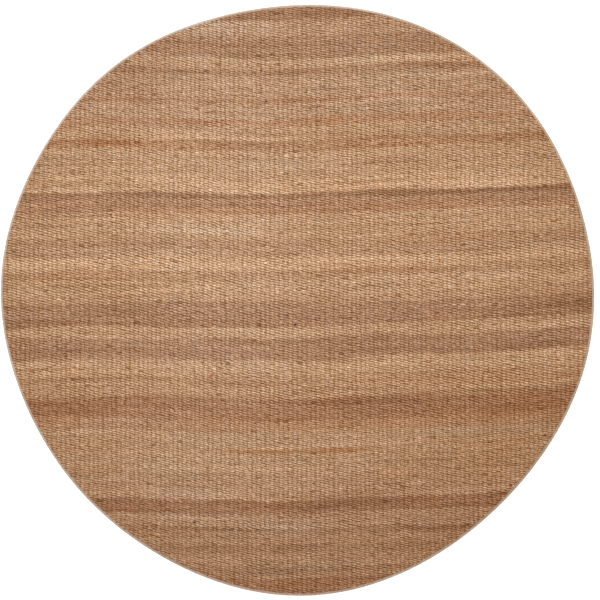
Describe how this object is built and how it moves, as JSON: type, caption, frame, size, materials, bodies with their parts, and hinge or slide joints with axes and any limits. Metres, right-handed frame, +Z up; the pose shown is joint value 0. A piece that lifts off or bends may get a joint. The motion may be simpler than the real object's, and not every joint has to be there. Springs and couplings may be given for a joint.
{
  "type": "round flat-woven jute rug",
  "caption": "Round reversible floor rug in thick flat-woven natural jute with shaded stripes and a narrow sewn yarn edging.",
  "frame": {"origin": "middle of the rug's footprint, on the floor under it", "axes": "+Z up from the floor through the rug, +X along the weft and the stripes, +Y along the warp, away from the edge shown at the bottom of the picture"},
  "size_m": [1.5096, 1.5036, 0.009],
  "materials": {
    "jute_weave": "undyed jute yarn in plain weave, dry and matt, in soft brown, tan and straw bands along the weft",
    "edging_yarn": "fine greyish beige yarn wrapped close over the rim, matt with a faint sheen"
  },
  "bodies": {
    "root": {"woven_field": "jute_weave", "edging": "edging_yarn"}
  },
  "joints": []
}
